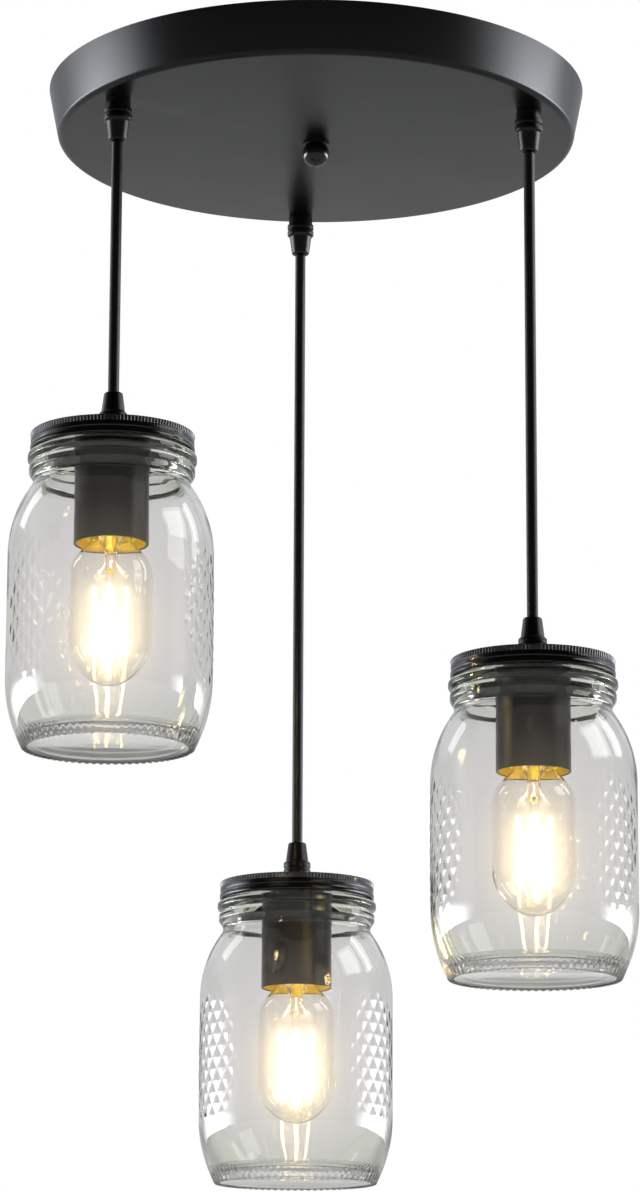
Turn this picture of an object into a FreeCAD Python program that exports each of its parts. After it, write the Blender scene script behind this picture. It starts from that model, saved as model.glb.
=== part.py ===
# Mason jar pendant light: three glass jars hang on cords from one round ceiling canopy.
# Millimetres. The origin is the centre of the ceiling face, +Z is up and -Y is the front.
import FreeCAD
import Part
import math
import os

# Canopy: a pressed steel cup with its open side against the ceiling
canopy_rim_d = 300.0
canopy_floor_d = 289.0
canopy_depth = 28.0
canopy_sheet = 1.2
canopy_edge_r = 3.5
gland_inset = 14.5
gland_turn_deg = 3.9

# Crossbar that screws to the ceiling box, its hollow nipple and the ball nut below
crossbar_l = 112.0
crossbar_w = 20.0
crossbar_t = 2.0
crossbar_corner_r = 5.0
box_slot_spacing = 80.0
box_slot_l = 16.0
box_slot_w = 5.0
ground_screw_x = 22.0
ground_screw_d = 4.0
ground_head_d = 8.0
ground_head_h = 3.0
ground_head_edge_r = 0.6
nipple_d = 9.8
nipple_bore_d = 6.8
nipple_grip_l = 8.5
nipple_nut_flats = 14.0
nipple_nut_h = 4.0
finial_ball_d = 15.0
finial_neck_d = 11.6
finial_neck_h = 0.4
finial_bore_spare = 1.0
finial_washer_d = 15.0
finial_washer_t = 1.0

# Drop of each lid top below the ceiling, and the angle of its gland on the canopy
left_drop = 218.0
right_drop = 337.0
rear_drop = 428.0
left_gland_deg = 210.0
right_gland_deg = 330.0
rear_gland_deg = 90.0
pendants = (
    ("left", left_drop, left_gland_deg),
    ("right", right_drop, right_gland_deg),
    ("rear", rear_drop, rear_gland_deg),
)

# Cord and the short length of it that bends below the canopy
cord_d = 6.0
cord_bend_l = 9.0
cord_pivot_drop = 1.0
cord_tail_rise = 3.0

# Cord grip, the same on the canopy and on each lid
grip_stem_d = 10.0
grip_stem_l = 8.0
grip_body_d = 14.0
grip_body_h = 6.2
grip_body_taper = 0.3
grip_ring_d = 15.4
grip_ring_h = 2.8
grip_ring_edge_r = 0.5
grip_ring_shoulder_h = 1.0
grip_groove_h = 0.8
grip_cone_d = 12.8
grip_tip_d = 10.0
grip_cone_h = 11.8
grip_tip_r = 1.2
grip_spigot_d = 9.2
grip_spigot_h = 8.0
grip_nut_flats = 14.0
grip_nut_h = 3.5

# Wiring inside the canopy
conductor_d = 1.8
conductor_pitch = 2.8
conductor_bend_r = 3.2
conductor_sweep_r = 14.0
terminal_l = 42.0
terminal_w = 16.0
terminal_h = 18.0
terminal_y = 46.0
terminal_entry_h = 13.4
terminal_entry_d = 3.2
terminal_entry_depth = 4.0
terminal_pitch = 7.0
terminal_lead_in = 16.0

# Lid: a flat disc held down by a turned band with a knurled top edge
band_d = 88.0
band_h = 9.8
band_wall = 0.9
band_lip_t = 0.9
band_edge_r = 0.45
band_window_d = 75.0
band_knurl_h = 3.2
band_knurl_count = 180
band_knurl_depth = 0.45
band_knurl_sink = 0.15
band_knurl_top_drop = 0.3
band_groove_depth = 0.35
disc_t = 0.9

# Jar
jar_h = 168.6
jar_body_d = 110.0
jar_wall = 3.2
jar_finish_d = 82.8
jar_mouth_d = 76.0
jar_lip_inner_r = 1.2
jar_lip_outer_r = 1.0
jar_throat_r = 6.0
jar_bead_d = 90.4
jar_bead_drop = 11.3
jar_lower_bead_d = 88.6
jar_lower_bead_drop = 18.3
jar_bead_half = 1.7
jar_bead_fillet_r = 0.6
jar_bead_valley_d = 86.0
jar_neck_d = 82.4
jar_neck_drop = 24.8
jar_neck_r = 4.0
jar_shoulder_drop = 45.4
jar_shoulder_r = 62.0
jar_heel_rise = 20.8
jar_heel_r = 76.0
jar_foot_d = 91.2
jar_foot_ring_w = 7.0
jar_foot_edge_r = 2.5
jar_foot_ring_r = 1.5
jar_base_t = 5.6
jar_floor_r = 7.0
jar_push_up = 2.4
jar_push_up_r = 2.0
jar_thread_pitch = 5.08
jar_thread_turns = 0.8
jar_thread_depth = 1.0
jar_thread_drop = 1.1
band_thread_turns = 0.6
band_thread_rise = 0.3
lid_thread_root_w = 2.0
lid_thread_crest_w = 1.0

# Socket cup and lamp holder
cup_d = 40.0
cup_l = 58.1
cup_wall = 1.2
cup_top_t = 1.5
cup_boss_d = 18.0
cup_boss_h = 5.6
cup_edge_r = 1.5
holder_mouth_recess = 7.0
holder_head = 17.0
holder_wire_hole_d = 9.0
holder_edge_r = 1.0
shell_wall = 0.9
shell_lip_t = 0.9
shell_lip_edge_r = 0.45
shell_headroom = 1.6
contact_d = 12.0
contact_t = 0.8
contact_nib_d = 4.0
contact_nib_h = 2.9
contact_nib_edge_r = 1.0

# Lamp: a tubular filament lamp with a standard 26 mm screw cap
bulb_l = 110.0
bulb_d = 45.0
bulb_wall = 0.9
bulb_neck_d = 22.4
bulb_neck_in_cap = 8.0
bulb_neck_below_cap = 1.7
bulb_neck_r_bend = 4.0
bulb_shoulder_drop = 41.0
bulb_shoulder_r = 17.0
bulb_end_r = 21.0
cap_l = 27.0
cap_d = 26.2
cap_root_d = 24.6
cap_sheet = 0.8
cap_edge_r = 1.0
cap_top_lap = 2.0
cap_skirt_w = 0.5
cap_skirt_h = 1.0
cap_thread_pitch = 3.629
cap_thread_turns = 3.6
cap_thread_root_w = 1.8
cap_thread_crest_w = 0.8
cap_thread_from_lip = 4.2
shell_thread_turns = 4.6
insulator_h = 5.0
insulator_d = 21.0
tip_d = 9.2
tip_h = 2.0
tip_edge_r = 1.0
stem_seat_drop = 1.0
stem_flare_h = 14.0
stem_flare_edge_h = 1.0
stem_flare_r = 4.0
stem_tube_d = 7.0
stem_tube_h = 10.0
stem_pinch_h = 2.0
stem_pinch_r = 1.0
stem_rod_d = 2.4
stem_rod_end_r = 0.6
stem_rod_past_filament = 3.0
filament_count = 4
filament_l = 38.0
filament_d = 1.8
filament_circle_d = 17.0
filament_rise_from_end = 18.0
filament_wire_d = 0.8

# Clearances
thread_gap = 0.1
running_gap = 0.3
cord_gap = 0.3
seat_gap = 0.2
thread_flank_gap = 0.35
thread_sink = 0.3

# How far a cutter runs past the face that it opens
cut_over = 1.0

# Heights that follow from the sizes above
grip_ring_top = grip_body_h + 2 * grip_ring_h + grip_groove_h
grip_h = grip_ring_top + grip_cone_h
canopy_floor_z = -canopy_depth
canopy_inside_z = canopy_floor_z + canopy_sheet
cord_exit_z = canopy_floor_z - grip_h
swing_z = cord_exit_z - cord_pivot_drop
sway_z = swing_z - cord_bend_l - cord_d / 2 - cord_gap

# Heights below the lid top, which is zero in each pendant's own frame
disc_top = -band_lip_t - thread_gap
disc_bottom = disc_top - disc_t
jar_rim = disc_bottom - running_gap
jar_foot = jar_rim - jar_h
cup_mouth = disc_bottom - cup_l
holder_top = disc_bottom - cup_top_t - cup_boss_h
holder_bottom = cup_mouth + holder_mouth_recess + shell_lip_t
holder_roof = holder_top - holder_head
bulb_top = holder_roof - contact_t - contact_nib_h - running_gap
cap_top = bulb_top - tip_h - insulator_h - running_gap
cap_lip = bulb_top - cap_l
bulb_end = bulb_top - bulb_l

# Shared radii
gland_r = canopy_floor_d / 2 - gland_inset
cord_r = cord_d / 2
grip_bore_r = cord_r + cord_gap
band_r = band_d / 2
band_inside_r = band_r - band_wall - band_groove_depth
cup_inside_r = cup_d / 2 - cup_wall
cap_inside_r = cap_root_d / 2 - cap_sheet
cap_thread_depth = (cap_d - cap_root_d) / 2
shell_inside_r = cap_d / 2 + running_gap + thread_gap
shell_outside_r = shell_inside_r + shell_wall

axis = FreeCAD.Vector(0, 0, 1)
origin = FreeCAD.Vector(0, 0, 0)
shortest_edge = 1e-4


def outline(corners):
    """Closed wire in the XZ plane through corners of radius, height and an optional rounding."""
    points = [FreeCAD.Vector(corner[0], 0, corner[1]) for corner in corners]
    turns = []
    for i, here in enumerate(points):
        if len(corners[i]) < 3:
            turns.append((here, None, here))
            continue
        rounding = corners[i][2]
        back = (points[i - 1] - here).normalize()
        ahead = (points[(i + 1) % len(points)] - here).normalize()
        half = back.getAngle(ahead) / 2
        reach = rounding / math.tan(half)
        inward = (back + ahead).normalize()
        middle = here + inward * (rounding / math.sin(half) - rounding)
        turns.append((here + back * reach, middle, here + ahead * reach))
    edges = []
    for i, (start, middle, end) in enumerate(turns):
        if middle:
            edges.append(Part.Arc(start, middle, end).toShape())
        following = turns[(i + 1) % len(turns)][0]
        if (following - end).Length > shortest_edge:
            edges.append(Part.LineSegment(end, following).toShape())
    return Part.Wire(edges)


def turned(corners):
    """Solid of revolution about the Z axis."""
    solid = Part.Face(outline(corners)).revolve(origin, axis, 360)
    if solid.Volume < 0:
        solid.reverse()
    return solid


def ring(outside_r, inside_r, top, bottom):
    """Plain ring, or a disc where the inside radius is zero."""
    return turned([(inside_r, top), (outside_r, top), (outside_r, bottom), (inside_r, bottom)])


def hexagon(flats, top, bottom):
    """Hexagonal prism with one corner on the X axis."""
    corner_r = flats / math.sqrt(3)
    corners = []
    for i in range(7):
        turn = math.radians(60 * i)
        corners.append(FreeCAD.Vector(corner_r * math.cos(turn), corner_r * math.sin(turn), bottom))
    return Part.Face(Part.makePolygon(corners)).extrude(FreeCAD.Vector(0, 0, top - bottom))


def thread_ridge(root_r, depth, pitch, turns, start, root_w, crest_w):
    """Helical ridge that climbs from a start height on the X axis, its foot sunk into the wall.
    A positive depth stands outwards and a negative one inwards."""
    sink = -thread_sink if depth > 0 else thread_sink
    spread = (root_w - crest_w) / 2 / abs(depth)
    foot_w = root_w / 2 + spread * thread_sink
    section = Part.makePolygon([
        FreeCAD.Vector(root_r + sink, 0, -foot_w),
        FreeCAD.Vector(root_r + depth, 0, -crest_w / 2),
        FreeCAD.Vector(root_r + depth, 0, crest_w / 2),
        FreeCAD.Vector(root_r + sink, 0, foot_w),
        FreeCAD.Vector(root_r + sink, 0, -foot_w),
    ])
    helix = Part.makeHelix(pitch, pitch * turns, root_r)
    ridge = Part.Wire(helix.Edges).makePipeShell([section], True, True)
    return ridge.translated(FreeCAD.Vector(0, 0, start))


def run(points, diameter, roundings):
    """Round wire along straight runs, with a tangent arc at each corner between its ends."""
    edges = []
    start = points[0]
    for i, rounding in enumerate(roundings, 1):
        here = points[i]
        back = (points[i - 1] - here).normalize()
        ahead = (points[i + 1] - here).normalize()
        half = back.getAngle(ahead) / 2
        reach = rounding / math.tan(half)
        inward = (back + ahead).normalize()
        middle = here + inward * (rounding / math.sin(half) - rounding)
        edges.append(Part.LineSegment(start, here + back * reach).toShape())
        edges.append(Part.Arc(here + back * reach, middle, here + ahead * reach).toShape())
        start = here + ahead * reach
    edges.append(Part.LineSegment(start, points[-1]).toShape())
    path = Part.Wire(edges)
    section = Part.Wire(Part.makeCircle(diameter / 2, points[0], points[1] - points[0]))
    tube = path.makePipeShell([section], True, False)
    print("conductor length", round(path.Length, 1), "volume ratio",
          round(tube.Volume / (path.Length * math.pi * diameter ** 2 / 4), 4))
    return tube


def moved(shape, x, y, z):
    return shape.translated(FreeCAD.Vector(x, y, z))


def drilled(shape, diameter, x, y, top, bottom):
    return shape.cut(moved(ring(diameter / 2, 0, top, bottom), x, y, 0))


def gland_place(turn_deg):
    turn = math.radians(turn_deg + gland_turn_deg)
    return gland_r * math.cos(turn), gland_r * math.sin(turn)


def save(shapes, node):
    """One file for a node that is a single solid or a group of separate solids."""
    shape = shapes[0] if len(shapes) == 1 else Part.makeCompound(shapes)
    solids = shape.Solids
    good = all(solid.isValid() and solid.Volume > 0 for solid in solids)
    print(node, len(solids), "solids", round(shape.Volume), "mm3", "valid" if good else "NOT VALID")
    shape.exportStep("parts/" + node + ".step")


def canopy_shell():
    rim_r = canopy_rim_d / 2
    floor_r = canopy_floor_d / 2
    hole_r = nipple_d / 2 + running_gap
    shell = turned([
        (rim_r, 0),
        (floor_r, canopy_floor_z, canopy_edge_r),
        (hole_r, canopy_floor_z),
        (hole_r, canopy_inside_z),
        (floor_r - canopy_sheet, canopy_inside_z, canopy_edge_r - canopy_sheet),
        (rim_r - canopy_sheet, 0),
    ])
    for name, drop, turn in pendants:
        x, y = gland_place(turn)
        shell = drilled(shell, grip_stem_d + 2 * thread_gap, x, y,
                        canopy_inside_z + cut_over, canopy_floor_z - cut_over)
    return shell


def crossbar():
    half_l = crossbar_l / 2
    half_w = crossbar_w / 2
    bar = Part.makeBox(crossbar_l, crossbar_w, crossbar_t, FreeCAD.Vector(-half_l, -half_w, -crossbar_t))
    upright = [edge for edge in bar.Edges if edge.BoundBox.ZLength > crossbar_t / 2]
    bar = bar.makeFillet(crossbar_corner_r, upright)
    top = cut_over
    bottom = -crossbar_t - cut_over
    bar = drilled(bar, nipple_d + 2 * thread_gap, 0, 0, top, bottom)
    bar = drilled(bar, ground_screw_d + 2 * thread_gap, ground_screw_x, 0, top, bottom)
    straight = box_slot_l - box_slot_w
    for side in (-1, 1):
        centre = side * box_slot_spacing / 2
        corner = FreeCAD.Vector(centre - straight / 2, -box_slot_w / 2, bottom)
        bar = bar.cut(Part.makeBox(straight, box_slot_w, top - bottom, corner))
        for end in (-1, 1):
            bar = drilled(bar, box_slot_w, centre + end * straight / 2, 0, top, bottom)
    return bar


def nipple():
    return ring(nipple_d / 2, nipple_bore_d / 2, 0, canopy_floor_z - finial_washer_t - nipple_grip_l)


def nipple_nut():
    top = -crossbar_t
    bottom = top - nipple_nut_h
    nut = hexagon(nipple_nut_flats, top, bottom)
    return drilled(nut, nipple_d + 2 * thread_gap, 0, 0, top + cut_over, bottom - cut_over)


def ground_screw():
    """Earth screw in the crossbar, flush with its top face."""
    head_r = ground_head_d / 2
    shank_r = ground_screw_d / 2
    screw = turned([
        (0, 0),
        (shank_r, 0),
        (shank_r, -crossbar_t),
        (head_r, -crossbar_t),
        (head_r, -crossbar_t - ground_head_h, ground_head_edge_r),
        (0, -crossbar_t - ground_head_h),
    ])
    return moved(screw, ground_screw_x, 0, 0)


def finial_washer():
    hole_r = nipple_d / 2 + running_gap
    return ring(finial_washer_d / 2, hole_r, canopy_floor_z, canopy_floor_z - finial_washer_t)


def finial_ball():
    top = canopy_floor_z - finial_washer_t
    ball_r = finial_ball_d / 2
    neck_r = finial_neck_d / 2
    ball_z = top - finial_neck_h - math.sqrt(ball_r ** 2 - neck_r ** 2)
    ball = Part.makeSphere(ball_r, FreeCAD.Vector(0, 0, ball_z))
    ball = ball.cut(ring(ball_r + cut_over, 0, ball_z + ball_r + cut_over, top))
    ball = ball.fuse(ring(neck_r, 0, top, ball_z))
    bore_end = top - nipple_grip_l - finial_bore_spare
    return drilled(ball, nipple_d + 2 * running_gap, 0, 0, top + cut_over, bore_end)


def grip_body():
    """Body of a cord grip on a panel at height zero, with its stem going down through the panel."""
    body_r = grip_body_d / 2
    ring_r = grip_ring_d / 2
    stem_r = grip_stem_d / 2
    spigot_r = grip_spigot_d / 2
    seat = grip_body_h + grip_ring_h + grip_groove_h
    return turned([
        (grip_bore_r, -grip_stem_l),
        (stem_r, -grip_stem_l),
        (stem_r, 0),
        (body_r - grip_body_taper, 0),
        (body_r, grip_body_h),
        (ring_r, grip_body_h, grip_ring_edge_r),
        (ring_r, grip_body_h + grip_ring_h, grip_ring_edge_r),
        (body_r, grip_body_h + grip_ring_h),
        (body_r, seat),
        (spigot_r, seat),
        (spigot_r, seat + grip_spigot_h),
        (grip_bore_r, seat + grip_spigot_h),
    ])


def grip_cap():
    """Tapered cap of a cord grip, screwed over the spigot of its body."""
    seat = grip_body_h + grip_ring_h + grip_groove_h
    spigot_r = grip_spigot_d / 2 + thread_gap
    ring_r = grip_ring_d / 2
    roof = seat + grip_spigot_h + running_gap
    return turned([
        (spigot_r, seat),
        (ring_r, seat, grip_ring_edge_r),
        (ring_r, grip_ring_top, grip_ring_edge_r),
        (grip_cone_d / 2, grip_ring_top + grip_ring_shoulder_h),
        (grip_tip_d / 2, grip_h, grip_tip_r),
        (grip_bore_r, grip_h),
        (grip_bore_r, roof),
        (spigot_r, roof),
    ])


def hung(shape, turn):
    """A grip piece turned upside down under the canopy floor at one gland."""
    x, y = gland_place(turn)
    return moved(shape.rotated(origin, FreeCAD.Vector(1, 0, 0), 180), x, y, canopy_floor_z)


def grip_nut(turn):
    x, y = gland_place(turn)
    top = canopy_inside_z + grip_nut_h
    nut = hexagon(grip_nut_flats, top, canopy_inside_z)
    nut = drilled(nut, grip_stem_d + 2 * thread_gap, 0, 0, top + cut_over, canopy_inside_z - cut_over)
    return moved(nut, x, y, 0)


cord_tail_top = canopy_floor_z + grip_stem_l + cord_tail_rise


def cord_tail(turn):
    x, y = gland_place(turn)
    return moved(ring(cord_r, 0, cord_tail_top, swing_z + cord_r + cord_gap), x, y, 0)


terminal_entry_z = canopy_inside_z + terminal_entry_h


def terminal_entries():
    """Places of the terminal's entries: two for each pendant, on the side that faces its cord."""
    front = terminal_y - terminal_w / 2
    back = terminal_y + terminal_w / 2
    outer = terminal_l / 2 - terminal_pitch / 2
    return {
        "left": (-1, front, (-outer, -outer + terminal_pitch)),
        "right": (-1, front, (outer - terminal_pitch, outer)),
        "rear": (1, back, (terminal_pitch / 2, -terminal_pitch / 2)),
    }


def terminal_block():
    corner = FreeCAD.Vector(-terminal_l / 2, terminal_y - terminal_w / 2, canopy_inside_z)
    block = Part.makeBox(terminal_l, terminal_w, terminal_h, corner)
    for side, face, places in terminal_entries().values():
        for x in places:
            mouth = FreeCAD.Vector(x, face, terminal_entry_z)
            inward = FreeCAD.Vector(0, -side, 0)
            block = block.cut(Part.makeCylinder(terminal_entry_d / 2, terminal_entry_depth, mouth, inward))
    return block


def conductors(name, turn):
    """The two wires of one cord, from the end of its sheath to the terminal."""
    x, y = gland_place(turn)
    side, face, places = terminal_entries()[name]
    heading = FreeCAD.Vector(places[0] - x, face - y, 0).normalize()
    across = FreeCAD.Vector(heading.y, -heading.x, 0)
    wires = []
    for i, entry_x in enumerate(places):
        offset = across * ((i - 0.5) * conductor_pitch)
        start = FreeCAD.Vector(x, y, cord_tail_top) + offset
        corner = FreeCAD.Vector(start.x, start.y, terminal_entry_z)
        before = FreeCAD.Vector(entry_x, face + side * terminal_lead_in, terminal_entry_z)
        inside = FreeCAD.Vector(entry_x, face - side * terminal_entry_depth / 2, terminal_entry_z)
        wires.append(run([start, corner, before, inside], conductor_d,
                         [conductor_bend_r, conductor_sweep_r]))
    return wires


def cord_bend():
    """Short length of cord at the canopy grip, round at its top where it swings."""
    length = ring(cord_r, 0, swing_z, swing_z - cord_bend_l)
    return length.fuse(Part.makeSphere(cord_r, FreeCAD.Vector(0, 0, swing_z)))


def cord(drop):
    """Straight cord from the bend down into the lid's grip."""
    bottom = disc_top - grip_stem_l - drop
    length = ring(cord_r, 0, sway_z, bottom)
    return length.fuse(Part.makeSphere(cord_r, FreeCAD.Vector(0, 0, sway_z)))


def lid_disc():
    disc_r = band_inside_r - running_gap
    return ring(disc_r, grip_stem_d / 2 + thread_gap, disc_top, disc_bottom)


band_thread_r = jar_finish_d / 2 + running_gap
jar_thread_start = jar_rim - jar_thread_drop - lid_thread_root_w / 2 - jar_thread_pitch * jar_thread_turns
band_thread_start = lid_thread_root_w / 2 + band_thread_rise - band_h
thread_offset = (lid_thread_root_w + lid_thread_crest_w) / 2 + thread_flank_gap
band_thread_turn_deg = 360 * (band_thread_start - jar_thread_start + thread_offset) / jar_thread_pitch
knurl_root_r = band_r - band_knurl_depth
knurl_core_r = knurl_root_r - band_knurl_sink


def knurl():
    """Row of fine upright flutes round the band's top edge."""
    points = []
    for i in range(2 * band_knurl_count):
        turn = math.pi * i / band_knurl_count
        r = band_r if i % 2 else knurl_root_r
        points.append(FreeCAD.Vector(r * math.cos(turn), r * math.sin(turn), -band_knurl_h))
    points.append(points[0])
    height = band_knurl_h - band_knurl_top_drop
    star = Part.Face(Part.makePolygon(points)).extrude(FreeCAD.Vector(0, 0, height))
    return star.cut(ring(knurl_core_r - band_knurl_sink, 0, cut_over, -band_knurl_h - cut_over))


def lid_band():
    waist_r = band_r - band_groove_depth
    groove_top = -band_knurl_h
    bead_top = -(band_knurl_h + band_h) / 2
    band = turned([
        (band_window_d / 2, 0),
        (knurl_core_r, 0, band_edge_r),
        (knurl_core_r, groove_top),
        (waist_r, groove_top),
        (waist_r, bead_top + band_groove_depth),
        (band_r, bead_top - band_groove_depth, band_edge_r),
        (band_r, -band_h, band_edge_r),
        (band_inside_r, -band_h),
        (band_inside_r, -band_lip_t),
        (band_window_d / 2, -band_lip_t),
    ])
    ridge = thread_ridge(band_inside_r, band_thread_r - band_inside_r, jar_thread_pitch,
                         band_thread_turns, band_thread_start, lid_thread_root_w, lid_thread_crest_w)
    return band.fuse([knurl(), ridge.rotated(origin, axis, band_thread_turn_deg)])


def jar():
    bead_r = jar_bead_d / 2
    bead = jar_rim - jar_bead_drop
    lower_r = jar_lower_bead_d / 2
    lower = jar_rim - jar_lower_bead_drop
    neck = jar_rim - jar_neck_drop
    shoulder = jar_rim - jar_shoulder_drop
    heel = jar_foot + jar_heel_rise
    finish_r = jar_finish_d / 2
    body_r = jar_body_d / 2
    inside_r = body_r - jar_wall
    foot_r = jar_foot_d / 2
    mouth_r = jar_mouth_d / 2
    ring_r = foot_r - jar_foot_edge_r - jar_foot_ring_w
    floor = jar_foot + jar_push_up + jar_base_t
    valley = (bead + lower) / 2
    half = jar_bead_half
    glass = turned([
        (mouth_r, jar_rim, jar_lip_inner_r),
        (finish_r, jar_rim, jar_lip_outer_r),
        (finish_r, bead + 2 * half, jar_bead_fillet_r),
        (bead_r, bead + half, half),
        (bead_r, bead - half, half),
        (jar_bead_valley_d / 2, valley, jar_bead_fillet_r),
        (lower_r, lower + half, half),
        (lower_r, lower - half, half),
        (jar_neck_d / 2, neck, jar_neck_r),
        (body_r, shoulder, jar_shoulder_r),
        (body_r, heel, jar_heel_r),
        (foot_r, jar_foot, jar_foot_edge_r),
        (ring_r, jar_foot, jar_foot_ring_r),
        (ring_r - jar_push_up, jar_foot + jar_push_up, jar_push_up_r),
        (0, jar_foot + jar_push_up),
        (0, floor),
        (foot_r - jar_wall, floor, jar_floor_r),
        (inside_r, heel, jar_heel_r - jar_wall),
        (inside_r, shoulder, jar_shoulder_r - jar_wall),
        (mouth_r, neck - jar_wall / 2, jar_throat_r),
    ])
    ridge = thread_ridge(finish_r, jar_thread_depth, jar_thread_pitch, jar_thread_turns,
                         jar_thread_start, lid_thread_root_w, lid_thread_crest_w)
    return glass.fuse(ridge)


def socket_cup():
    cup_r = cup_d / 2
    roof = disc_bottom - cup_top_t
    bore_r = grip_stem_d / 2 + thread_gap
    return turned([
        (bore_r, disc_bottom),
        (cup_r, disc_bottom, cup_edge_r),
        (cup_r, cup_mouth),
        (cup_inside_r, cup_mouth),
        (cup_inside_r, roof),
        (cup_boss_d / 2, roof),
        (cup_boss_d / 2, holder_top),
        (bore_r, holder_top),
    ])


def lamp_holder():
    """Porcelain body of the lamp holder."""
    holder_r = cup_inside_r - seat_gap
    hole_r = holder_wire_hole_d / 2
    shell_r = shell_outside_r + seat_gap
    return turned([
        (hole_r, holder_top),
        (holder_r, holder_top, holder_edge_r),
        (holder_r, holder_bottom),
        (shell_r, holder_bottom),
        (shell_r, holder_roof),
        (hole_r, holder_roof),
    ])


cap_thread_start = cap_lip + cap_thread_from_lip
shell_thread_start = cap_thread_start + cap_thread_pitch / 2


def screw_shell():
    top = holder_roof - contact_t - shell_headroom
    lip_r = cup_inside_r - seat_gap
    shell = turned([
        (shell_inside_r, top),
        (shell_outside_r, top),
        (shell_outside_r, holder_bottom),
        (lip_r, holder_bottom),
        (lip_r, holder_bottom - shell_lip_t),
        (shell_inside_r, holder_bottom - shell_lip_t, shell_lip_edge_r),
    ])
    depth = cap_root_d / 2 + running_gap + thread_gap - shell_inside_r
    ridge = thread_ridge(shell_inside_r, depth, cap_thread_pitch, shell_thread_turns,
                         shell_thread_start, cap_thread_root_w, cap_thread_crest_w)
    return shell.fuse(ridge)


def centre_contact():
    nib_r = contact_nib_d / 2
    under = holder_roof - contact_t
    return turned([
        (0, holder_roof),
        (contact_d / 2, holder_roof),
        (contact_d / 2, under),
        (nib_r, under),
        (nib_r, under - contact_nib_h, contact_nib_edge_r),
        (0, under - contact_nib_h),
    ])


def bulb_contact():
    """Tip contact and black glass insulator at the top of the lamp's cap."""
    return turned([
        (0, bulb_top),
        (tip_d / 2, bulb_top, tip_edge_r),
        (tip_d / 2, bulb_top - tip_h),
        (insulator_d / 2, bulb_top - tip_h - insulator_h),
        (0, bulb_top - tip_h - insulator_h),
    ])


def bulb_cap():
    root_r = cap_root_d / 2
    hole_r = insulator_d / 2 - cap_top_lap
    skirt_r = root_r + cap_skirt_w
    cap = turned([
        (hole_r, cap_top),
        (root_r, cap_top, cap_edge_r),
        (root_r, cap_lip + cap_skirt_h + cap_skirt_w),
        (skirt_r, cap_lip + cap_skirt_h),
        (skirt_r, cap_lip),
        (cap_inside_r, cap_lip),
        (cap_inside_r, cap_top - cap_sheet),
        (hole_r, cap_top - cap_sheet),
    ])
    ridge = thread_ridge(root_r, cap_thread_depth, cap_thread_pitch, cap_thread_turns,
                         cap_thread_start, cap_thread_root_w, cap_thread_crest_w)
    return cap.fuse(ridge)


bulb_neck_r = bulb_neck_d / 2
bulb_neck_top = cap_lip + bulb_neck_in_cap


def bulb_glass():
    shoulder = bulb_top - bulb_shoulder_drop
    body_r = bulb_d / 2
    inside_r = body_r - bulb_wall
    neck_in_r = bulb_neck_r - bulb_wall
    flare = cap_lip - bulb_neck_below_cap
    return turned([
        (neck_in_r, bulb_neck_top),
        (bulb_neck_r, bulb_neck_top),
        (bulb_neck_r, flare, bulb_neck_r_bend),
        (body_r, shoulder, bulb_shoulder_r),
        (body_r, bulb_end, bulb_end_r),
        (0, bulb_end),
        (0, bulb_end + bulb_wall),
        (inside_r, bulb_end + bulb_wall, bulb_end_r - bulb_wall),
        (inside_r, shoulder, bulb_shoulder_r - bulb_wall),
        (neck_in_r, flare - bulb_wall / 2, bulb_neck_r_bend + bulb_wall),
    ])


filament_bottom = bulb_end + filament_rise_from_end
filament_top = filament_bottom + filament_l


def bulb_stem():
    """Glass stem: a flare sealed in the neck, a pinched tube and the rod that carries the filaments."""
    flare_r = bulb_neck_r - bulb_wall - seat_gap
    tube_r = stem_tube_d / 2
    rod_r = stem_rod_d / 2
    top = bulb_neck_top - stem_seat_drop
    pinch = top - stem_flare_h - stem_tube_h
    rod_end = filament_bottom - stem_rod_past_filament
    return turned([
        (0, top),
        (flare_r, top),
        (flare_r, top - stem_flare_edge_h),
        (tube_r, top - stem_flare_h, stem_flare_r),
        (tube_r, pinch, stem_pinch_r),
        (rod_r, pinch - stem_pinch_h),
        (rod_r, rod_end, stem_rod_end_r),
        (0, rod_end),
    ])


def filament(turn_deg):
    """One straight filament with the two wires that hold it to the rod."""
    circle_r = filament_circle_d / 2
    rod_r = stem_rod_d / 2 + thread_gap
    stick = moved(ring(filament_d / 2, 0, filament_top, filament_bottom), circle_r, 0, 0)
    wires = []
    for z in (filament_top - filament_wire_d, filament_bottom + filament_wire_d):
        start = FreeCAD.Vector(rod_r, 0, z)
        wires.append(Part.makeCylinder(filament_wire_d / 2, circle_r - rod_r, start, FreeCAD.Vector(1, 0, 0)))
    return stick.fuse(wires).rotated(origin, axis, turn_deg)


def filaments():
    step = 360 / filament_count
    return [filament(step * i) for i in range(filament_count)]


os.makedirs("parts", exist_ok=True)
turns = [turn for name, drop, turn in pendants]

save([canopy_shell()], "canopy_shell")
save([crossbar()], "crossbar")
save([nipple()], "centre_nipple")
save([nipple_nut(), ground_screw()], "bracket_fasteners")
save([finial_washer()], "finial_washer")
save([finial_ball()], "finial_ball")
save([hung(grip_body(), turn) for turn in turns], "canopy_grip_bodies")
save([hung(grip_cap(), turn) for turn in turns], "canopy_grip_caps")
save([grip_nut(turn) for turn in turns], "canopy_grip_nuts")
save([cord_tail(turn) for turn in turns], "cord_tails")
save([terminal_block()], "terminal_block")
wires = []
for name, drop, turn in pendants:
    wires.extend(conductors(name, turn))
save(wires, "conductors")

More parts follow.
